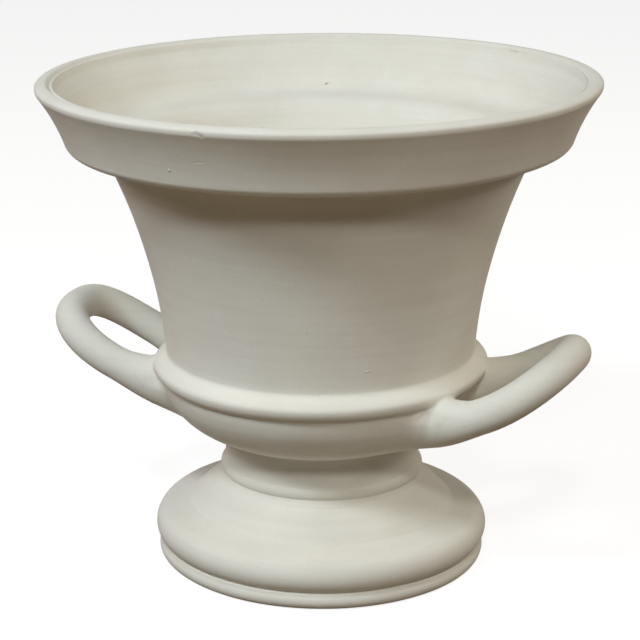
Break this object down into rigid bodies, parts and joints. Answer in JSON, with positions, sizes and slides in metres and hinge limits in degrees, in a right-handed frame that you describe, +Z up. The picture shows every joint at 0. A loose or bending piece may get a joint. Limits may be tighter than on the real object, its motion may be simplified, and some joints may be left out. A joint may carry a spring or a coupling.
{
  "type": "trophy vase",
  "caption": "Campana-shaped trophy vase with a flared rim collar, a beaded waist, upswept loop handles and a stepped round foot.",
  "frame": {"origin": "on the table, under the middle of the whole vase's box", "axes": "+Z up, +X towards the right handle, -Y towards the viewer, who stands a little to the right in the picture"},
  "size_m": [0.2446, 0.24, 0.2182],
  "materials": {
    "clay": "dead matt cream bisque"
  },
  "bodies": {
    "root": {"foot_ring": "clay", "foot_dome": "clay", "pedestal_neck": "clay", "belly_bowl": "clay", "waist_bead": "clay", "bell_wall": "clay", "rim_collar": "clay", "handle_right": "clay", "root_fillet_right_front": "clay", "root_fillet_right_back": "clay", "handle_left": "clay", "root_fillet_left_back": "clay", "root_fillet_left_front": "clay"}
  },
  "joints": []
}
